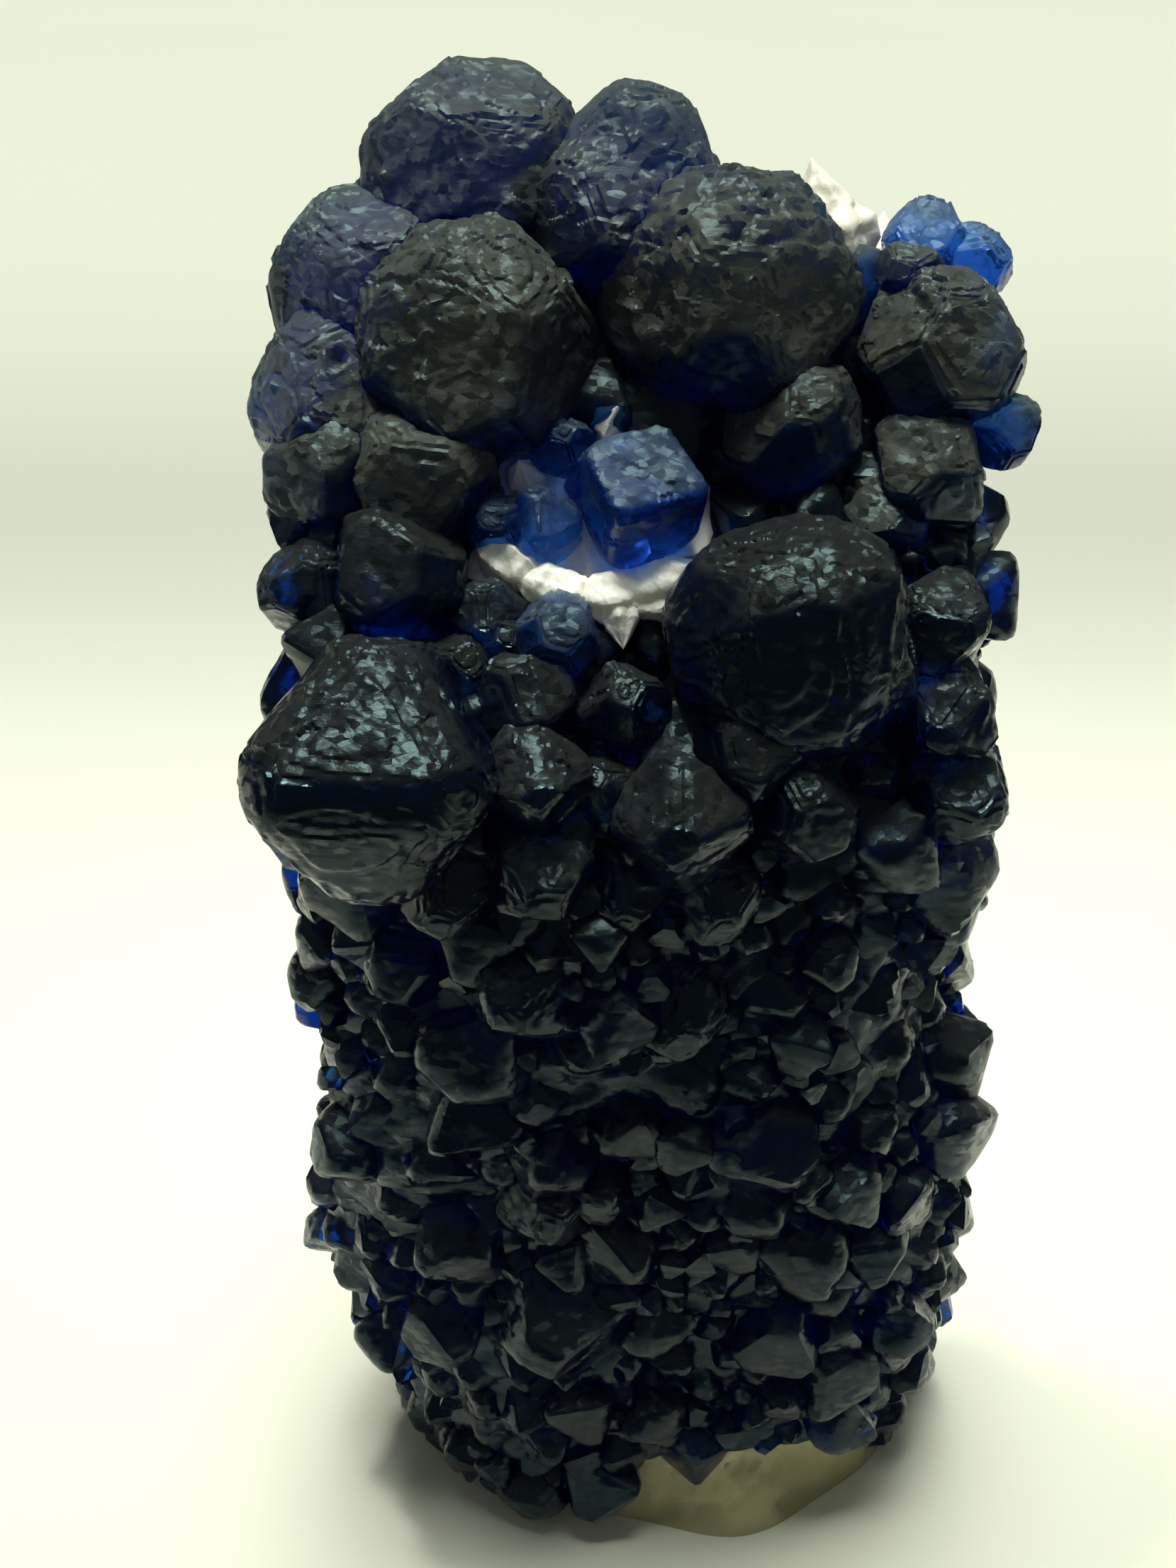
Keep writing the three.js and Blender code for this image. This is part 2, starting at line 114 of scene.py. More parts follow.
# Directions of a square grid folded on an octahedron: x and y run over the square, the height is
# 1 - |x| - |y|, and the four corners fold under. Borders that meet share corners.
def octahedronGrid(segments):
    side = np.linspace(-1, 1, segments + 1)
    x, y = np.meshgrid(side, side, indexing="ij")
    z = 1 - abs(x) - abs(y)
    foldedX = np.where(z < 0, np.sign(x) * (1 - abs(y)), x)
    foldedY = np.where(z < 0, np.sign(y) * (1 - abs(x)), y)
    points = np.stack([foldedX, foldedY, z], axis=-1).reshape(-1, 3)
    corner = np.arange((segments + 1) ** 2).reshape(segments + 1, segments + 1)
    half = segments // 2
    for border in (corner[0], corner[-1], corner[:, 0], corner[:, -1]):
        border[half + 1:] = border[:half][::-1]
    corner[0, 0] = corner[0, -1] = corner[-1, 0] = corner[-1, -1]
    a, b, c, d = corner[:-1, :-1], corner[1:, :-1], corner[1:, 1:], corner[:-1, 1:]
    row, column = np.indices((segments, segments)) < half
    split = (row == column)[..., None]
    lower = np.where(split, np.stack([a, b, d], axis=-1), np.stack([a, b, c], axis=-1))
    upper = np.where(split, np.stack([b, c, d], axis=-1), np.stack([a, c, d], axis=-1))
    triangles = np.concatenate([lower.reshape(-1, 3), upper.reshape(-1, 3)])
    used, triangles = np.unique(triangles, return_inverse=True)
    points = points[used] / np.linalg.norm(points[used], axis=1, keepdims=True)
    return points, triangles.reshape(-1, 3)


# Normals of the octahedral, rhombic and cubic faces, by how many of their indices aren't 0
def faceNormals():
    whole = np.array([(x, y, z) for x in (-1, 0, 1) for y in (-1, 0, 1) for z in (-1, 0, 1)], dtype=float)
    filled = abs(whole).sum(axis=1)
    return {kind: whole[filled == count] / math.sqrt(count)
            for kind, count in (("octahedral", 3), ("rhombic", 2), ("cubic", 1))}


normals = faceNormals()
grids = {}

# Distances of the faces from the centre, as shares of the crystal's size, and how crisply they
# meet. Each face is a stack of thin layers that shrink outwards over a low dome, and their edges
# wander. Faces turned up are etched into a mosaic of small tilted facets, and here and there they
# break into blocks. Dome, layer, wander, wanderLength, facet and blocks are in millimetres, and
# segments is the fineness of the grid.
habits = {
    "great": dict(faces=dict(octahedral=0.82, rhombic=0.95, cubic=0.9), crisp=40, uneven=0.08,
                  dome=0.35, layer=0.2, wander=0.16, wanderLength=6, facet=1.3, tilt=0.045,
                  blocks=(1.5, 0.5), broken=0.8, segments=128),
    "medium": dict(faces=dict(octahedral=0.78, rhombic=0.93, cubic=0.92), crisp=44, uneven=0.1,
                   dome=0.2, layer=0.16, wander=0.08, wanderLength=3.5, facet=0.9, tilt=0.05,
                   blocks=(0.9, 0.4), broken=0.6, segments=60),
    "small": dict(faces=dict(octahedral=0.74, rhombic=0.88, cubic=0.98), crisp=60, uneven=0.14,
                  dome=0.12, layer=0.14, wander=0.05, wanderLength=2.6, facet=0, broken=0, segments=20),
    "tiny": dict(faces=dict(octahedral=0.72, rhombic=0.92, cubic=0.95), crisp=60, uneven=0.12,
                 dome=0.08, layer=0.2, wander=0.03, wanderLength=1.6, facet=0, broken=0, segments=8),
}
# What the surfaces of all crystals have in common. A pair is the share of a relief on smooth
# faces, and how much frosting adds. Lengths are in millimetres.
surfacing = dict(domeFrom=0.75, tread=0.75, frostAndLightRise=0.55, layers=(0.8, 0.2), mosaic=(0.2, 0.8),
                 breaks=(0.3, 0.7), breakLength=4, forcedLength=5)
mosaic = dict(stretch=(0.75, 1, 1.35), wobble=0.25, wobbleLength=1.2, level=0.03)
# Blocks are coarse ones with fine ones on them. Their surface is looked for in tries from the
# outermost to the innermost place, in sizes of the coarse block.
blocky = dict(coarseShare=0.7, fineShare=0.3, coarseTread=0.7, fineTread=0.5, centring=0.3,
              outermost=0.6, innermost=-0.8, tries=25, warp=0.2, warpLength=4)
outAxes = {"corner": Vector((0, 0, 1)), "face": Vector((1, 1, 1)).normalized(),
           "edge": Vector((1, 1, 0)).normalized()}
footGap = 0.4  # how far the crystals end above the cut foot, in millimetres


def eased(share):
    share = np.clip(share, 0, 1)
    return share * share * (3 - 2 * share)


# The share of a relief at a place: the pair's first part everywhere, the second by frosting.
def byFrost(key, frost):
    smooth, added = surfacing[key]
    return smooth + added * frost


# A mosaic of small flat facets, wider than high: each place takes the height of the plane of its
# nearest facet centre, at its own tilt and level.
def facetRelief(world, habit, random):
    if not habit["facet"]:
        return 0
    size = np.linalg.norm(world, axis=1).mean()
    centres = world[random.integers(0, len(world), int(4 * math.pi * (size / habit["facet"]) ** 2))]
    length = mosaic["wobbleLength"] * habit["facet"]
    wobble = np.stack([waves(world, length, int(random.integers(9999)), 8) for axis in range(3)], axis=-1)
    stretched = world * mosaic["stretch"] + mosaic["wobble"] * habit["facet"] * wobble
    middles = centres * mosaic["stretch"]
    nearest = np.argmin((middles ** 2).sum(axis=1) - 2 * stretched @ middles.T, axis=1)
    tilts = habit["tilt"] * random.normal(size=(len(centres), 3))
    levels = mosaic["level"] * habit["facet"] * random.normal(size=len(centres))
    return levels[nearest] + (tilts[nearest] * (world - centres[nearest])).sum(axis=1)


# Where a crystal is broken, places are pulled by share to whole blocks along its axes, coarse
# ones and fine ones. The surface is where the outermost pulled place lies within the planes.
def brokenRadius(ways, plain, depth, share, habit, reach, random, seed):
    surface = ways * plain[:, None]
    outer = plain - depth
    wander = [waves(surface, blocky["warpLength"], seed + 5 + axis) for axis in range(3)]
    warp = random.uniform(0, 9, 3) + blocky["warp"] * np.stack(wander, -1)
    coarse, fine = habit["blocks"]
    coarse = coarse * random.uniform(0.8, 1.2, 3)
    offsets = np.linspace(blocky["outermost"], blocky["innermost"], blocky["tries"]) * coarse.max()
    coarseShare, fineShare, centring = blocky["coarseShare"], blocky["fineShare"], blocky["centring"]
    reached = []
    for offset in offsets:
        places = ways * (plain + offset)[:, None]
        whole = (coarseShare * stepped(places + warp, coarse, blocky["coarseTread"])
                 + fineShare * stepped(places + warp, fine, blocky["fineTread"]))
        pulled = whole - warp + coarseShare * centring * coarse + fineShare * centring * fine
        reached.append(reach(places + (pulled - places) * share[:, None]))
    reached = np.array(reached)
    inner = np.maximum(np.argmax(reached <= 1, axis=0), 1)
    every = np.arange(len(ways))
    far, near = reached[inner - 1, every], reached[inner, every]
    between = np.clip((far - 1) / np.maximum(far - near, 1e-9), 0, 1)
    return outer + offsets[inner - 1] + between * (offsets[inner] - offsets[inner - 1])


# Along each direction, a smooth minimum of the distances to the face planes gives the plain
# crystal. The layers and the mosaic go off it, and blocks where it is broken. What would reach
# below the foot is drawn in.
def crystalSurface(crystal, number):
    habit = habits[crystal["habit"]]
    size = crystal["size"]
    if habit["segments"] not in grids:
        grids[habit["segments"]] = octahedronGrid(habit["segments"])
    directions, triangles = grids[habit["segments"]]
    random = np.random.default_rng(1000 + number)
    turn = turnOf(crystal)
    planes = []
    for kind, share in dict(habit["faces"], **crystal.get("faces", {})).items():
        distance = size * share * (1 + habit["uneven"] * random.uniform(-1, 1, len(normals[kind])))
        planes.append(normals[kind] / distance[:, None])
    planes = np.concatenate(planes)

    def reach(places):
        return (np.maximum(places @ planes.T, 0) ** habit["crisp"]).sum(axis=1) ** (1 / habit["crisp"])

    plain = 1 / reach(directions)
    surface = directions * plain[:, None]
    pressing = np.maximum(surface @ planes.T, 0)
    second, first = np.sort(pressing, axis=1)[:, -2:].T
    nearEdge = np.clip((second / first - surfacing["domeFrom"]) / (1 - surfacing["domeFrom"]), 0, 1)
    facing = (pressing ** habit["crisp"]) @ planes @ turn
    up = facing[:, 2] / np.linalg.norm(facing, axis=1)
    # How far a face turns up sets its frosting: more relief, and in the material a pale colour on the faces
    # turned up, as painted top light.
    frost = eased((up + crystal.get("frosted", 0)) / surfacing["frostAndLightRise"])
    seed = random.integers(99999)
    world = surface @ turn
    wander = waves(world, habit["wanderLength"], seed)
    height = habit["dome"] * nearEdge ** 2 + habit["wander"] * (1.5 + wander)
    depth = stepped(np.maximum(height, 0), habit["layer"], surfacing["tread"]) * byFrost("layers", frost)
    depth = depth + facetRelief(world, habit, random) * byFrost("mosaic", frost)
    patches = np.clip(1.5 * waves(world, surfacing["breakLength"], seed + 3) - 1, 0, 1)
    share = habit["broken"] * patches * byFrost("breaks", frost)
    forced = np.clip(1.3 * waves(world, surfacing["forcedLength"], seed + 4), 0, 1)
    share = np.maximum(share, crystal.get("broken", 0) * forced)
    radius = plain - depth
    broken = np.flatnonzero(share > 0.02)
    if len(broken):
        radius[broken] = brokenRadius(directions[broken], plain[broken], depth[broken], share[broken],
                                      habit, reach, random, seed)
    away = (directions * radius[:, None]) @ turn
    above = crystal["at"][2] - footGap
    away = away * (above / np.maximum(-away[:, 2], above))[:, None]
    return dict(points=away + crystal["at"], triangles=triangles, frost=frost)


# Turns the out axis towards the aim, then spins about the aim. Its rows turn whole arrays.
def turnOf(crystal):
    aim = Vector(crystal["aim"]).normalized()
    turn = Quaternion(aim, math.radians(crystal["spin"])) @ outAxes[crystal["out"]].rotation_difference(aim)
    return np.array(turn.to_matrix()).T


# Crystals with the same settings. What a row says itself goes before them.
def alike(crystals, **shared):
    return [dict(shared, **crystal) for crystal in crystals]


# The great crystals and those round them, as the photo shows them: at is the centre, size the
# reach, and out the axis that points along aim, spun about it by spin degrees. Their frosting
# setting moves the frosting, and the pale colour painted with it as top light, down the crystal, or
# up it where below 0: the lit crown gets more, the shaded crystals below less, as painted light and
# shade.
crownLeft = alike(habit="great", frosted=0.3, crystals=[
    dict(at=(-9.6, 9.2, 88), size=7.6, out="edge", aim=(-0.3, -0.8, 0.9), spin=20),
    dict(at=(-9.3, 1.3, 81), size=7.8, out="corner", aim=(0.35, -0.5, 0.8), spin=15),
    dict(at=(-15.2, 5.5, 82.6), size=7, out="edge", aim=(-0.5, -0.6, 0.6), spin=0),
    dict(at=(-16.6, 1.6, 77.2), size=6.3, out="face", aim=(-0.8, -0.5, 0.3), spin=30),
    dict(at=(-17.2, -1.6, 74.6), size=4.6, out="face", aim=(-0.6, -0.8, 0), spin=50, habit="medium"),
    dict(at=(-12.4, -2.6, 75), size=4.8, out="edge", aim=(0, -0.7, 0.6), spin=90, habit="medium"),
    dict(at=(-16.6, 4.6, 82.6), size=3.6, out="corner", aim=(-0.6, -0.7, 0.4), spin=25, habit="medium"),
])
crownRight = alike(habit="medium", crystals=[
    dict(at=(-0.8, 7, 86.9), size=7.4, out="face", aim=(0.1, -0.8, 0.5), spin=10, habit="great",
         frosted=0.3),
    dict(at=(4.8, 2.6, 83.4), size=8, out="edge", aim=(-0.1, -0.9, 0.2), spin=145, habit="great",
         broken=0.8, frosted=0.35, faces=dict(octahedral=0.86, rhombic=0.94, cubic=0.82)),
    dict(at=(16.4, 0.8, 80.2), size=5.4, out="face", aim=(0.3, -0.9, 0.4), spin=40, habit="great",
         frosted=0.3),
    dict(at=(20.2, -0.4, 76.6), size=2.5, out="edge", aim=(0.7, -0.6, 0), spin=60),
    dict(at=(15.8, -2.6, 75), size=3.8, out="face", aim=(0.3, -0.9, -0.2), spin=70),
    dict(at=(14.7, 2.7, 84.4), size=2.1, out="face", aim=(0, -0.3, 0.9), spin=30),
    dict(at=(8.3, -1.2, 76.8), size=4.5, out="corner", aim=(0.1, -0.8, 0.75), spin=45),
    dict(at=(13.4, -3.2, 72.4), size=3.2, out="corner", aim=(0.4, -0.8, 0.2), spin=35),
])
brow = alike(habit="medium", frosted=-0.15, crystals=[
    dict(at=(-14.1, -14.4, 62.6), size=7.6, out="edge", aim=(-0.1, -0.95, 0.3), spin=133, habit="great",
         frosted=-0.4, faces=dict(octahedral=0.82, rhombic=0.89, cubic=0.97)),
    dict(at=(8, -9.8, 68.2), size=7.6, out="corner", aim=(-0.1, -1, 0.05), spin=10, habit="great",
         frosted=-0.25, faces=dict(octahedral=0.9, rhombic=0.92, cubic=0.86)),
    dict(at=(-13.4, -6.8, 70.4), size=4.5, out="face", aim=(-0.2, -0.8, 0.5), spin=25),
    dict(at=(-6.6, -11.3, 65), size=3.2, out="edge", aim=(0, -0.8, 0.6), spin=30),
    dict(at=(-5.9, -14.6, 62), size=3.6, out="corner", aim=(0.1, -0.9, 0.2), spin=10),
    dict(at=(1.7, -16, 60.4), size=4.1, out="corner", aim=(-0.1, -0.95, 0.1), spin=0),
    dict(at=(5.7, -13.6, 63.6), size=3.4, out="face", aim=(0.1, -0.8, 0.6), spin=55),
    dict(at=(8.4, -14.6, 60.4), size=3.4, out="face", aim=(0.3, -0.9, 0), spin=80),
    dict(at=(-9.7, -10.3, 66.4), size=2.3, out="corner", aim=(0.3, -0.7, 0.7), spin=0),
    dict(at=(-7.5, -9.2, 67.2), size=2, out="corner", aim=(0, -0.7, 0.8), spin=40),
    dict(at=(-5.5, -16, 57.2), size=3.2, out="corner", aim=(0.1, -1, -0.2), spin=40),
    dict(at=(-2.2, -14, 61), size=2.6, out="edge", aim=(0, -1, 0.2), spin=80),
    dict(at=(-1, -11.6, 64.8), size=2.9, out="corner", aim=(0, -0.6, 0.8), spin=20),
    dict(at=(-8.5, -7.8, 68.6), size=2.4, out="edge", aim=(0, -0.8, 0.6), spin=15),
    dict(at=(-9.1, -3.6, 72.6), size=2.2, out="edge", aim=(0, -0.8, 0.6), spin=70),
    dict(at=(15.8, -8.6, 68.4), size=3.4, out="corner", aim=(0.6, -0.7, 0.3), spin=5),
    dict(at=(16.6, -11, 64), size=3, out="face", aim=(0.5, -0.8, 0.2), spin=45),
    dict(at=(17.4, -11.4, 59.4), size=3.4, out="corner", aim=(0.5, -0.8, 0), spin=15),
    dict(at=(-18.4, -6, 69.4), size=3.2, out="corner", aim=(-0.7, -0.7, 0.2), spin=20),
])
frontCrystals = alike(habit="medium", frosted=-0.3, crystals=[
    dict(at=(-1, -15, 55.8), size=3, out="corner", aim=(0, -1, -0.3), spin=12),
    dict(at=(3.6, -15, 55), size=3.2, out="corner", aim=(0.2, -1, -0.3), spin=33),
    dict(at=(-10.4, -14.8, 55.4), size=3.2, out="corner", aim=(-0.2, -1, -0.2), spin=5),
    dict(at=(-6.6, -14.6, 49), size=4.1, out="corner", aim=(-0.3, -1, 0), spin=30),
    dict(at=(1.9, -14.6, 47.5), size=3.6, out="corner", aim=(0.1, -1, -0.2), spin=10),
    dict(at=(-5.4, -13.4, 31.4), size=3.6, out="corner", aim=(0, -1, 0.1), spin=20),
    dict(at=(-4.8, -12.6, 21), size=5.4, out="corner", aim=(-0.2, -1, 0), spin=8),
])
azureCrystals = alike(habit="medium", crystals=[
    dict(at=(-7.9, -4.6, 72.6), size=2.1, out="corner", aim=(-0.2, -0.8, 0.5), spin=30, frosted=-0.1),
    dict(at=(-7, -0.6, 77), size=1.9, out="face", aim=(-0.1, -0.7, 0.6), spin=70, frosted=-0.1),
    dict(at=(-2.6, -2.6, 74.4), size=1.8, out="edge", aim=(0, -0.8, 0.6), spin=40, frosted=-0.2),
    dict(at=(-4.6, -8.8, 67.9), size=2.9, out="face", aim=(0.1, -0.8, 0.6), spin=0, frosted=-0.1),
    dict(at=(16, 5.6, 85.2), size=2.9, out="face", aim=(0, -0.7, 0.7), spin=0),
    dict(at=(18.6, 5.4, 84.2), size=2.7, out="corner", aim=(0.5, -0.5, 0.5), spin=20),
])
pocketCrystals = alike(habit="medium", frosted=-0.3, crystals=[
    dict(node="pocket_crystal_block", at=(-0.3, -4.6, 74), size=3.8, out="corner", aim=(0.1, -0.5, 0.85),
         spin=25, faces=dict(octahedral=1.08, rhombic=0.95, cubic=0.74)),
    dict(node="pocket_crystal_back", at=(-4.4, -1.6, 76), size=2.1, out="corner", aim=(0, -0.7, 0.7),
         spin=20),
    dict(node="pocket_crystal_left", at=(-5.5, -4.6, 72.3), size=2.6, out="edge", aim=(-0.1, -0.8, 0.6),
         spin=10),
])

# The quartz column

column = dict(topZ=84.5, sectionPower=2.6, frontFootY=-11.8, frontTopY=-15, backY=10.5, slopeFootZ=58,
              slopeRise=1.19, blendPower=10, sides=200, storeys=230)
profile = dict(z=[0, 9, 17, 31, 46, 54, 64, 88],
               halfWidth=[17, 18.8, 20.6, 20.6, 18.9, 19.4, 18, 17.4],
               shift=[1.4, 1.8, 1, 1, -0.2, -0.5, -0.5, 0])
backFractures = [dict(turn=68, reach=10.6, lean=0.03), dict(turn=97, reach=11.4, lean=-0.015),
                 dict(turn=128, reach=12.6, lean=-0.01)]
foot = dict(turn=-52, spread=38, reach=3.4, height=11, bareFrom=4.2, bareTo=5.83, bareTop=7.3, bareRise=9)
swells = [dict(reach=0.55, around=3, up=0.13, phase=0.4), dict(reach=0.4, around=5, up=-0.21, phase=2.1),
          dict(reach=0.3, around=8, up=0.37, phase=4)]


# Eased value of the profile between its points.
def profileAt(z, key):
    place = np.clip(np.searchsorted(profile["z"], z), 1, len(profile["z"]) - 1)
    low, high = np.array(profile["z"])[place - 1], np.array(profile["z"])[place]
    share = np.clip((z - low) / (high - low), 0, 1)
    share = share * share * (3 - 2 * share)
    values = np.array(profile[key])
    return values[place - 1] + (values[place] - values[place - 1]) * share


def slopeY(z):
    return column["frontTopY"] + (z - column["slopeFootZ"]) / column["slopeRise"]


def frontY(z):
    rise = column["frontTopY"] - column["frontFootY"]
    return column["frontFootY"] + rise * np.minimum(z / column["slopeFootZ"], 1)


def axisAt(z):
    return profileAt(z, "shift"), (np.maximum(frontY(z), slopeY(z)) + column["backY"]) / 2


# Smooth minimum of a squarish ellipse, the slope and the back fractures, plus foot and swells.
def sectionRadius(angle, z):
    x, y = axisAt(z)
    across, back = np.cos(angle), np.sin(angle)
    middleY = (frontY(z) + column["backY"]) / 2
    halfDepth = (column["backY"] - frontY(z)) / 2
    power, blend = column["sectionPower"], column["blendPower"]
    ellipse = abs(across / profileAt(z, "halfWidth")) ** power + abs(back / halfDepth) ** power
    radius = ellipse ** (-1 / power) + back * (middleY - y)
    total = radius ** -blend
    toSlope = (slopeY(z) - y) / np.where(back < 0, back, -1e9)
    total = total + np.where((back < 0) & (toSlope > 0), abs(toSlope) ** -blend, 0)
    for plane in backFractures:
        turn = math.radians(plane["turn"])
        facing = math.cos(turn) * across + math.sin(turn) * back
        room = plane["reach"] + plane["lean"] * z - math.cos(turn) * x - math.sin(turn) * y
        limit = room / np.where(facing > 0.05, facing, 1e-9)
        total = total + np.where(facing > 0.05, abs(limit) ** -blend, 0)
    result = total ** (-1 / blend)
    turned = angle - math.radians(foot["turn"])
    fromFoot = np.arctan2(np.sin(turned), np.cos(turned)) / math.radians(foot["spread"])
    result = result + foot["reach"] * np.maximum(0, 1 - z / foot["height"]) ** 1.5 * np.exp(-fromFoot ** 2)
    for swell in swells:
        result = result + swell["reach"] * np.sin(swell["around"] * angle + swell["up"] * z + swell["phase"])
    return result


def columnPoint(angle, z):
    x, y = axisAt(z)
    radius = sectionRadius(angle, z)
    return np.stack([x + radius * np.cos(angle), y + radius * np.sin(angle), z + 0 * radius], axis=-1)


def columnNormal(angle, z):
    around = columnPoint(angle + 0.02, z) - columnPoint(angle - 0.02, z)
    up = columnPoint(angle, z + 0.3) - columnPoint(angle, z - 0.3)
    normal = np.cross(around, up)
    return normal / np.linalg.norm(normal, axis=-1, keepdims=True)


# A closed surface by angle round the axis and height: the section's radius plus what relief gives
# for each corner, with a fan of the last ring over each end.
def wrapColumn(sides, storeys, relief):
    angle, z = np.meshgrid(np.linspace(0, 2 * np.pi, sides, endpoint=False),
                           np.linspace(0, column["topZ"], storeys + 1), indexing="ij")
    points = columnPoint(angle, z).reshape(-1, 3)
    outward = np.stack([np.cos(angle), np.sin(angle), 0 * angle], axis=-1).reshape(-1, 3)
    grow = relief(points)
    points = points + outward * grow[:, None]
    corner = np.arange(sides * (storeys + 1)).reshape(sides, storeys + 1)
    after = np.roll(corner, -1, axis=0)
    ends = []
    for ring, height in ((0, 0.0), (storeys, column["topZ"])):
        middle = np.full(sides, len(points))
        pair = [after[:, ring], corner[:, ring]] if ring == 0 else [corner[:, ring], after[:, ring]]
        ends.append(np.stack([*pair, middle], axis=-1))
        points = np.concatenate([points, [[*axisAt(np.array(height)), height]]])
    a, b, c, d = corner[:, :-1], after[:, :-1], after[:, 1:], corner[:, 1:]
    wall = [np.stack(three, axis=-1).reshape(-1, 3) for three in ((a, b, c), (a, c, d))]
    return dict(points=points, triangles=np.concatenate([*wall, *ends]), under=coverShare(points))


# The height up to which the foot is bare, by angle: from the left it rises to full height at the
# front, and beyond the right corner the crust comes down again
def footTop(angle):
    fromLeft = angle - foot["bareFrom"]
    inside = (fromLeft > 0) & (angle < foot["bareTo"])
    return np.where(inside, np.minimum(foot["bareTop"], 2 + foot["bareRise"] * fromLeft), 0)


# Square of the distance from the pocket's centre: 1 on its rim, which is an ellipsoid
def fromPocket(points):
    apart = points - np.array(pocket["centre"])
    depth = np.hypot(apart[:, 1], apart[:, 2]) / pocket["halfHeight"]
    return (apart[:, 0] / pocket["halfWidth"]) ** 2 + depth ** 2


# How much of the crust covers the quartz: 1 under the crystals, 0 in the pocket, on the back
# and on the bare foot, with a wavy edge
def coverShare(points):
    clearOfPocket = fromPocket(points) - 1
    clearOfBack = (layer["backY"] - points[:, 1]) / 2
    angle = np.arctan2(points[:, 1], points[:, 0] - profile["shift"][0]) % (2 * math.pi)
    clearOfFoot = (points[:, 2] - footTop(angle)) * 1.5 + 1
    clear = np.minimum.reduce([clearOfPocket * 3, clearOfBack, clearOfFoot, (points[:, 2] - 0.5) * 2])
    return np.clip(0.5 + clear + 0.3 * waves(points, 3, 8), 0, 1)


# The broken quartz: chips cut into steps, deeper here and there, none at the cut foot
def quartzRelief(points):
    chips = 0.35 * waves(points, 6, 3) + 0.2 * waves(points, 2.2, 4) + 0.1 * waves(points, 0.9, 5)
    return -stepped(np.clip(0.45 + chips, 0, 2), 0.3, 0.5) * np.clip(points[:, 2] / 0.5, 0, 1)


# The layer of grown-together bases: thick where it covers the quartz, sunk into it where it is bare
def layerRelief(points):
    thickness = layer["thickness"] + layer["sunk"] + 0.25 * waves(points, 2.5, 9)
    return coverShare(points) * thickness - layer["sunk"]


quartzPoint = dict(sides=48, stations=60, tip=1.3, chipLength=1.6)  # tip is a share of the radius


# Six sided prism with a pyramid at each end, chipped: steps round by stations along, closed at
# the tips.
def quartzPointSurface(point):
    sides, stations = quartzPoint["sides"], quartzPoint["stations"]
    half = point["length"] / 2
    shoulder = max(half - quartzPoint["tip"] * point["radius"], 0.2 * half)
    along = np.linspace(-half, half, stations + 1)[1:-1]
    angle = np.linspace(0, 2 * np.pi, sides, endpoint=False)
    flat = math.cos(math.pi / 6) / np.cos((angle + math.radians(point["spin"])) % (math.pi / 3) - math.pi / 6)
    taper = np.minimum(1, (half - abs(along)) / (half - shoulder))
    radius = point["radius"] * taper[:, None] * flat[None, :]
    unrolled = np.stack([*np.meshgrid(along, 2 * angle, indexing="ij"), radius], axis=-1).reshape(-1, 3)
    chips = waves(unrolled, quartzPoint["chipLength"], 7)
    radius = radius * (1 - 0.3 * stepped(np.clip(0.3 + 0.4 * chips, 0, 1), 0.25, 0.5).reshape(radius.shape))
    ring = np.stack([radius * np.cos(angle), radius * np.sin(angle), along[:, None] + 0 * radius], axis=-1)
    points = np.concatenate([ring.reshape(-1, 3), [[0, 0, -half], [0, 0, half]]])
    turn = np.array(Vector((0, 0, 1)).rotation_difference(Vector(point["aim"]).normalized()).to_matrix())
    points = points @ turn.T + point["at"]
    corner = np.arange(sides * len(along)).reshape(len(along), sides)
    after = np.roll(corner, -1, axis=1)
    a, b, c, d = corner[:-1], after[:-1], after[1:], corner[1:]
    wall = np.concatenate([np.stack(three, axis=-1).reshape(-1, 3) for three in ((a, b, c), (a, c, d))])
    low = np.stack([after[0], corner[0], np.full(sides, len(points) - 2)], axis=-1)
    high = np.stack([corner[-1], after[-1], np.full(sides, len(points) - 1)], axis=-1)
    return dict(points=points, triangles=np.concatenate([wall, low, high]))


quartzPoints = [
    dict(at=(11.6, 7.4, 82.4), radius=3, length=15, aim=(-0.28, 0.12, 1), spin=10),
    dict(at=(14.2, 8.4, 80), radius=3, length=13, aim=(0, 0.2, 1), spin=35),
    dict(at=(-7.2, -5.5, 70.8), radius=1.5, length=6, aim=(1, -0.6, -0.5), spin=0),
    dict(at=(-4.6, -7, 69.6), radius=1.6, length=6.2, aim=(1, -0.3, -0.3), spin=20),
    dict(at=(-1.7, -7.3, 69.4), radius=1.7, length=6, aim=(1, 0.1, 0.15), spin=40),
    dict(at=(1.1, -7, 69.8), radius=1.7, length=6.2, aim=(1, 0.3, 0.4), spin=5),
    dict(at=(-1.3, -8, 68.8), radius=1.2, length=4.2, aim=(0.1, -0.7, -0.7), spin=10),
    dict(at=(-6.4, -1.6, 74), radius=1.3, length=4.6, aim=(-0.2, -0.7, 0.8), spin=15),
    dict(at=(-1.8, 0, 76.4), radius=1.3, length=4.6, aim=(0.2, -0.6, 0.8), spin=50),
]

# The carpet of crystals on the front and the sides

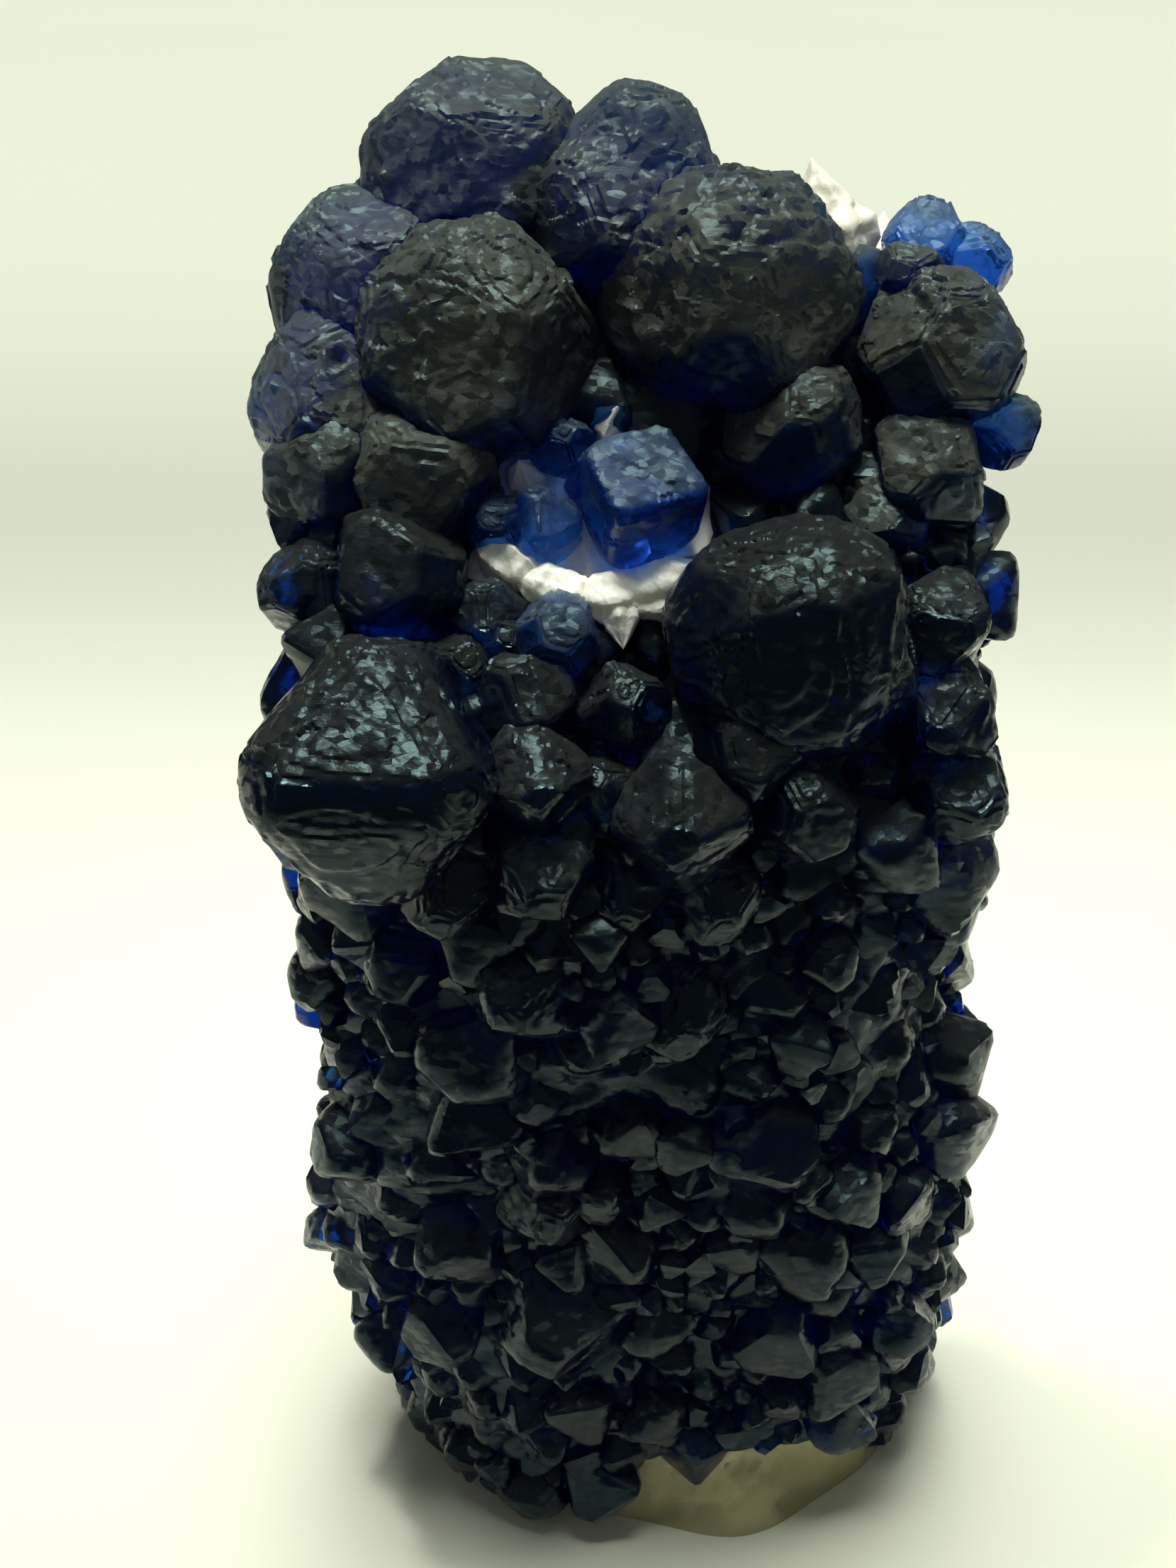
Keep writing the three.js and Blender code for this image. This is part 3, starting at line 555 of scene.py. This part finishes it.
# Each growth is finer than the one before. Crystals keep apart by spacing times the sum of their
# sizes, and their tips stand out of the column by height. Where its normal points back by more
# than backLimit, the column stays bare.
# Its crystals take little of the pale colour painted as top light: painted shade under the brow.
carpet = dict(seed=41, lowestZ=2.6, backLimit=0.82, tilt=0.7, faceShare=0.4, frosted=-0.35, frontY=-4,
              frontTopZ=52, growths=[
    dict(tries=1500, size=3.5, sizeSpread=0.5, spacing=0.6, height=3, habit="small"),
    dict(tries=3500, size=2.6, sizeSpread=0.5, spacing=0.54, height=2.6, habit="small"),
    dict(tries=6000, size=1.5, sizeSpread=0.6, spacing=0.52, height=2.1, habit="tiny"),
])
layer = dict(thickness=0.9, sunk=1.8, backY=7.5, sides=130, storeys=140)
coreColumn = dict(drawnIn=1.3, sides=60, storeys=50)
pocket = dict(centre=(-3.2, -4, 72.6), halfWidth=7.4, halfHeight=5.9)
sharpReach = dict(face=0.74, corner=1.22)  # of a crystal of size 1, along its out axis


# True at bare places: the back, the pocket and the foot at the front right
def isBare(angle, points, normals):
    onFoot = points[:, 2] < footTop(angle)
    return (normals[:, 1] > carpet["backLimit"]) | (fromPocket(points) < 1) | onFoot


# Tries places at random, with the same generator as the solids, and keeps those that are clear
# of the crystals placed before
def growCarpet(grown):
    state = carpet["seed"]
    centres = [crystal["at"] for crystal in grown]
    sizes = [crystal["size"] for crystal in grown]
    made = []
    for growth in carpet["growths"]:
        draws = np.empty(growth["tries"] * 8)
        for number in range(len(draws)):
            state = state * 48271 % 2147483647
            draws[number] = state / 2147483647
        angle, z, size, leanX, leanY, leanZ, spin, share = draws.reshape(-1, 8).T
        angle = angle * 2 * math.pi
        z = carpet["lowestZ"] + z * (column["topZ"] - 1 - carpet["lowestZ"])
        size = growth["size"] * (1 + growth["sizeSpread"] * (size - 0.5))
        points, outward = columnPoint(angle, z), columnNormal(angle, z)
        aims = outward + (np.stack([leanX, leanY, leanZ], axis=-1) - 0.5) * carpet["tilt"]
        for number in np.flatnonzero(~isBare(angle, points, outward)):
            apart = np.linalg.norm(np.array(centres) - points[number], axis=1)
            if (apart < growth["spacing"] * (np.array(sizes) + size[number])).any():
                continue
            centres.append(points[number])
            sizes.append(size[number])
            out = "face" if share[number] < carpet["faceShare"] else "corner"
            at = points[number] + outward[number] * (growth["height"] - size[number] * sharpReach[out])
            made.append(dict(at=at, size=size[number], out=out, aim=aims[number], spin=spin[number] * 360,
                             habit=growth["habit"], frosted=carpet["frosted"]))
    return made


# Materials


# Turns an sRGB hex colour to linear light.
def linear(hexColour):
    channels = np.array([int(hexColour[i:i + 2], 16) / 255 for i in (1, 3, 5)])
    light = np.where(channels < 0.04045, channels / 12.92, ((channels + 0.055) / 1.055) ** 2.4)
    return (*light, 1)


# Adds a node with its settings. Inputs, by name or number, are linked from sockets or given values.
def addNode(material, kind, inputs=None, **settings):
    node = material.node_tree.nodes.new(kind)
    for key, value in settings.items():
        setattr(node, key, value)
    for key, value in (inputs or {}).items():
        if isinstance(value, bpy.types.NodeSocket):
            material.node_tree.links.new(value, node.inputs[key])
        else:
            node.inputs[key].default_value = value
    return node


def newMaterial(name):
    material = bpy.data.materials.new(name)
    material.use_nodes = True
    material.node_tree.nodes.clear()
    return material


# The fine etching, in millimetres, drawn coarser than it is so that it shows: small tilted facets
# wider than high, and grain on them. The bump's strengths are given where smooth and where etched
# matt, on the faces that are also painted pale as top light.
etching = dict(facet=0.5, stretch=(0.7, 0.9, 1.3), planeShare=0.8, grainsPerMm=2.2, grainDepth=0.09,
               smooth=0.25, frosted=0.6, patch=2, patchShare=0.8)


# Fluorite, grown and partly etched: glassy and deep blue inside, smooth and dark where it faces
# down, etched matt where it faces up and painted pale there, as dust and top light. clear is the
# share of light that passes into it, density and tint what it swallows there, deep its colour where
# smooth, and the pale colour, dust with painted top light, where etched matt.
def fluoriteMaterial(name, roughness, clear, density, tint, deep, dustAndTopLight):
    material = newMaterial(name)
    place = addNode(material, "ShaderNodeTexCoord").outputs["Object"]
    frost = addNode(material, "ShaderNodeAttribute", attribute_name="frost").outputs["Fac"]
    level = addNode(material, "ShaderNodeVectorMath", {0: place, 1: etching["stretch"]},
                    operation="MULTIPLY").outputs[0]
    cells = addNode(material, "ShaderNodeTexVoronoi", {"Vector": level, "Scale": 1 / (etching["facet"] * mm)})
    fromMiddle = addNode(material, "ShaderNodeVectorMath", {0: level, 1: cells.outputs["Position"]},
                         operation="SUBTRACT")
    tilt = addNode(material, "ShaderNodeVectorMath", {0: cells.outputs["Color"], 1: (0.5, 0.5, 0.5)},
                   operation="SUBTRACT")
    plane = addNode(material, "ShaderNodeVectorMath", {0: fromMiddle.outputs[0], 1: tilt.outputs[0]},
                    operation="DOT_PRODUCT")
    grain = addNode(material, "ShaderNodeTexNoise", {
        "Vector": level, "Scale": etching["grainsPerMm"] / mm, "Detail": 4, "Roughness": 0.6})
    fine = addNode(material, "ShaderNodeMath", {0: grain.outputs["Fac"], 1: etching["grainDepth"] * mm},
                   operation="MULTIPLY")
    height = addNode(material, "ShaderNodeMath", {
        0: plane.outputs["Value"], 1: etching["planeShare"], 2: fine.outputs[0]}, operation="MULTIPLY_ADD")
    strength = addNode(material, "ShaderNodeMapRange", {
        "Value": frost, "To Min": etching["smooth"], "To Max": etching["frosted"]})
    bump = addNode(material, "ShaderNodeBump", {
        "Strength": strength.outputs[0], "Distance": 1, "Height": height.outputs[0]})
    patches = addNode(material, "ShaderNodeTexNoise", {
        "Vector": place, "Scale": 1 / (etching["patch"] * mm), "Detail": 4})
    # Random patches plus the frosting give the roughness and the share of the pale colour, which is dust with
    # painted top light.
    mattAndTopLit = addNode(material, "ShaderNodeMath", {
        0: patches.outputs["Fac"], 1: etching["patchShare"], 2: frost}, operation="MULTIPLY_ADD").outputs[0]
    rough = addNode(material, "ShaderNodeMapRange", {
        "Value": mattAndTopLit, "From Min": 0.25, "From Max": 1.45, "To Min": roughness[0], "To Max": roughness[1]})
    dustyAndTopLit = addNode(material, "ShaderNodeMapRange", {"Value": mattAndTopLit, "From Min": 0.5, "From Max": 1.5})
    colour = addNode(material, "ShaderNodeMix", {0: dustyAndTopLit.outputs[0], 6: linear(deep), 7: linear(dustAndTopLight)},
                     data_type="RGBA")
    shader = addNode(material, "ShaderNodeBsdfPrincipled", {
        "Base Color": colour.outputs[2], "IOR": 1.434, "Transmission Weight": clear,
        "Specular Tint": linear("#A4CCCE"), "Roughness": rough.outputs[0], "Normal": bump.outputs[0]})
    inside = addNode(material, "ShaderNodeVolumeAbsorption", {"Color": (*tint, 1), "Density": density})
    addNode(material, "ShaderNodeOutputMaterial", {"Surface": shader.outputs[0], "Volume": inside.outputs[0]})
    return material


# Lengths in the quartz, in millimetres. The grain is drawn coarser than it is, so that it shows.
milk = dict(cloud=4, beigeTop=(4, 22), grain=0.4, grainDepth=0.15, glow=1.2)


# Milky quartz: white and waxy, beige and darker towards the foot, glittering where it broke. Where
# the crust is rooted in it, it is grown through with dark fluorite.
def quartzMaterial():
    material = newMaterial("milky_quartz")
    place = addNode(material, "ShaderNodeTexCoord").outputs["Object"]
    cloud = addNode(material, "ShaderNodeTexNoise", {
        "Vector": place, "Scale": 1 / (milk["cloud"] * mm), "Detail": 5})
    up = addNode(material, "ShaderNodeSeparateXYZ", {"Vector": place}).outputs["Z"]
    share = addNode(material, "ShaderNodeMapRange", {
        "Value": up, "From Min": milk["beigeTop"][0] * mm, "From Max": milk["beigeTop"][1] * mm})
    beigeTowardsFoot = addNode(material, "ShaderNodeMix", {
        0: share.outputs[0], 6: linear("#B5AE88"), 7: linear("#FFFDF3")}, data_type="RGBA")
    under = addNode(material, "ShaderNodeAttribute", attribute_name="under").outputs["Fac"]
    spots = addNode(material, "ShaderNodeMix", {
        0: cloud.outputs["Fac"], 6: linear("#E2DDCC"), 7: linear("#FFFFFF")}, data_type="RGBA")
    colour = addNode(material, "ShaderNodeMix", {0: 0.6, 6: beigeTowardsFoot.outputs[2], 7: spots.outputs[2]},
                     data_type="RGBA", blend_type="MULTIPLY")
    rooted = addNode(material, "ShaderNodeMix", {0: under, 6: colour.outputs[2], 7: linear("#1A2740")},
                     data_type="RGBA")
    grain = addNode(material, "ShaderNodeTexNoise", {
        "Vector": place, "Scale": 1 / (milk["grain"] * mm), "Detail": 5})
    bump = addNode(material, "ShaderNodeBump", {
        "Strength": 0.5, "Distance": milk["grainDepth"] * mm, "Height": grain.outputs["Fac"]})
    shader = addNode(material, "ShaderNodeBsdfPrincipled", {
        "Base Color": rooted.outputs[2], "IOR": 1.544, "Roughness": 0.45, "Subsurface Weight": 0.35,
        "Subsurface Radius": (1, 0.9, 0.7), "Subsurface Scale": milk["glow"] * mm,
        "Normal": bump.outputs[0]})
    addNode(material, "ShaderNodeOutputMaterial", {"Surface": shader.outputs[0]})
    return material


# Matt pale paper under the specimen
def paperMaterial():
    material = newMaterial("pale_paper")
    place = addNode(material, "ShaderNodeTexCoord").outputs["Object"]
    cloud = addNode(material, "ShaderNodeTexNoise", {"Vector": place, "Scale": 3, "Detail": 2})
    tone = addNode(material, "ShaderNodeMix", {
        0: cloud.outputs["Fac"], 6: linear("#EBECDD"), 7: linear("#E6E7D6")}, data_type="RGBA")
    shader = addNode(material, "ShaderNodeBsdfPrincipled", {"Base Color": tone.outputs[2], "Roughness": 0.8})
    addNode(material, "ShaderNodeOutputMaterial", {"Surface": shader.outputs[0]})
    return material


# One fluorite in two copies: the crown's crystals on top take a paler, more diffuse copy as painted top
# light, the brow, front and sides a clearer, darker copy as painted shade.
fluorite = fluoriteMaterial("etched_top_lit_fluorite", roughness=(0.2, 0.42), clear=0.925, density=620,
                            tint=(0.04, 0.43, 0.76), deep="#1F4FA0", dustAndTopLight="#D8E2CC")
shadedFluorite = fluoriteMaterial("shaded_dark_blue_fluorite", roughness=(0.15, 0.36), clear=0.975, density=540,
                                tint=(0.03, 0.42, 0.8), deep="#1F4FA0", dustAndTopLight="#C8D2CC")
paleFluorite = fluoriteMaterial("pale_blue_fluorite", roughness=(0.14, 0.42), clear=0.9, density=250,
                                tint=(0.03, 0.38, 0.84), deep="#2F74E0", dustAndTopLight="#A4C2E2")
milkyQuartz = quartzMaterial()
print("materials made")

# Pieces


def dress(piece, material, slot, *nodes):
    piece.data.materials.clear()
    piece.data.materials.append(material)
    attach(piece, "root")
    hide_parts(*nodes)


sharpAngle = dict(fluorite=24, quartz=40)  # degrees between two triangles whose shared edge is sharp

columnSurface = wrapColumn(column["sides"], column["storeys"], quartzRelief)
quartzSurfaces = [columnSurface, *[quartzPointSurface(point) for point in quartzPoints]]
quartz = grownTogether("quartz_column", quartzSurfaces, sharpAngle["quartz"])
dress(quartz, milkyQuartz, "milky_quartz", "quartz_matrix")


# The column drawn in evenly: what is cut out of the crust
def coreRelief(points):
    return np.full(len(points), -coreColumn["drawnIn"])


core = meshObject("core", **wrapColumn(coreColumn["sides"], coreColumn["storeys"], coreRelief))
placed = [*crownLeft, *crownRight, *azureCrystals, *brow, *frontCrystals, *pocketCrystals]
carpetCrystals = growCarpet(placed)
print(f"carpet: {len(carpetCrystals)} crystals")
front, left, right = [], [], []
for crystal in carpetCrystals:
    x, y, z = crystal["at"]
    if y < carpet["frontY"] and z < carpet["frontTopZ"]:
        front.append(crystal)
    elif x < 0:
        left.append(crystal)
    else:
        right.append(crystal)
groups = dict(crown_left_crystals=crownLeft, crown_right_crystals=crownRight, brow_crystals=brow,
              front_crystals=[*frontCrystals, *front], left_crystals=left, right_crystals=right)
for group, (name, crystals) in enumerate(groups.items()):
    surfaces = [crystalSurface(crystal, 100 * group + number) for number, crystal in enumerate(crystals)]
    if name == "front_crystals":
        surfaces.append(wrapColumn(layer["sides"], layer["storeys"], layerRelief))
    # The crown takes the top-lit copy and the rest the shaded copy, as painted light and shade.
    material = fluorite if name.startswith("crown") else shadedFluorite
    dress(grownTogether(name, surfaces, sharpAngle["fluorite"], core), material, "fluorite", "fluorite_crust")
azureSurfaces = [crystalSurface(crystal, 800 + number) for number, crystal in enumerate(azureCrystals)]
azure = grownTogether("azure_crystals", azureSurfaces, sharpAngle["fluorite"], core)
dress(azure, paleFluorite, "fluorite", "fluorite_crust")
for number, crystal in enumerate(pocketCrystals):
    node, surface = crystal["node"], crystalSurface(crystal, 900 + number)
    grown = grownTogether(f"{node}_skin", [surface], sharpAngle["fluorite"], core)
    dress(grown, paleFluorite, "pale_fluorite", node)
bpy.data.meshes.remove(core.data)

# Floor, lights and camera

stage = dict(halfWidth=3.0, nearY=-2.5, farY=5.0, columns=8, rows=64)  # in metres


# A flat sheet, by x and y
def floorSurface():
    x, along = np.meshgrid(np.linspace(-stage["halfWidth"], stage["halfWidth"], stage["columns"] + 1),
                           np.linspace(0, 1, stage["rows"] + 1), indexing="ij")
    y = stage["nearY"] + along * (stage["farY"] - stage["nearY"])
    points = np.stack([x, y, 0 * y], axis=-1).reshape(-1, 3) / mm
    corner = np.arange(len(points)).reshape(x.shape)
    a, b, c, d = corner[:-1, :-1], corner[1:, :-1], corner[1:, 1:], corner[:-1, 1:]
    triangles = np.concatenate([np.stack(three, axis=-1).reshape(-1, 3) for three in ((a, b, c), (a, c, d))])
    return dict(points=points, triangles=triangles)


floor = meshObject("floor", **floorSurface())
floor.data.materials.append(paperMaterial())
floor.data.shade_smooth()


# A rectangular area light that points from one place to another.
def softbox(name, at, towards, width, depth, spread, power, colour):
    light = bpy.data.lights.new(name, "AREA")
    light.shape = "RECTANGLE"
    light.size, light.size_y = width, depth
    light.spread = math.radians(spread)
    light.energy = power
    light.color = linear(colour)[:3]
    lamp = bpy.data.objects.new(name, light)
    lamp.location = at
    lamp.rotation_euler = (Vector(towards) - Vector(at)).to_track_quat("-Z", "Y").to_euler()
    bpy.context.scene.collection.objects.link(lamp)


softboxes = [
    dict(name="backdrop", at=(0, 0.85, 0.85), towards=(0, 0.85, 0), width=1.8, depth=1.5, spread=46,
         power=8.5, colour="#FAFFF6"),
    dict(name="overhead", at=(0, 0.02, 0.42), towards=(0, 0.02, 0), width=0.44, depth=0.2, spread=28,
         power=0.25, colour="#FBFFF4"),
    dict(name="key", at=(-0.12, 0.08, 0.6), towards=(0, 0, 0.05), width=0.04, depth=0.04, spread=24,
         power=0.02, colour="#FFFDF2"),
]
for box in softboxes:
    softbox(**box)

world = bpy.data.worlds.new("showroom")
world.use_nodes = True
world.node_tree.nodes["Background"].inputs["Color"].default_value = linear("#EDF5E8")
world.node_tree.nodes["Background"].inputs["Strength"].default_value = 0.14
bpy.context.scene.world = world
bpy.context.scene.view_settings.view_transform = "Standard"

view = dict(at=(-3, -91.7, 106.4), tilt=60, focal=2372, frameHeight=2212)
camera = bpy.data.objects.new("camera", bpy.data.cameras.new("camera"))
camera.data.lens = camera.data.sensor_width * view["focal"] / view["frameHeight"]
camera.data.clip_start = 0.005
camera.data.clip_end = 20
camera.location = Vector(view["at"]) * mm
camera.rotation_euler = (math.radians(view["tilt"]), 0, 0)
bpy.context.scene.collection.objects.link(camera)
bpy.context.scene.camera = camera

bpy.context.view_layer.update()
print("scene finished")
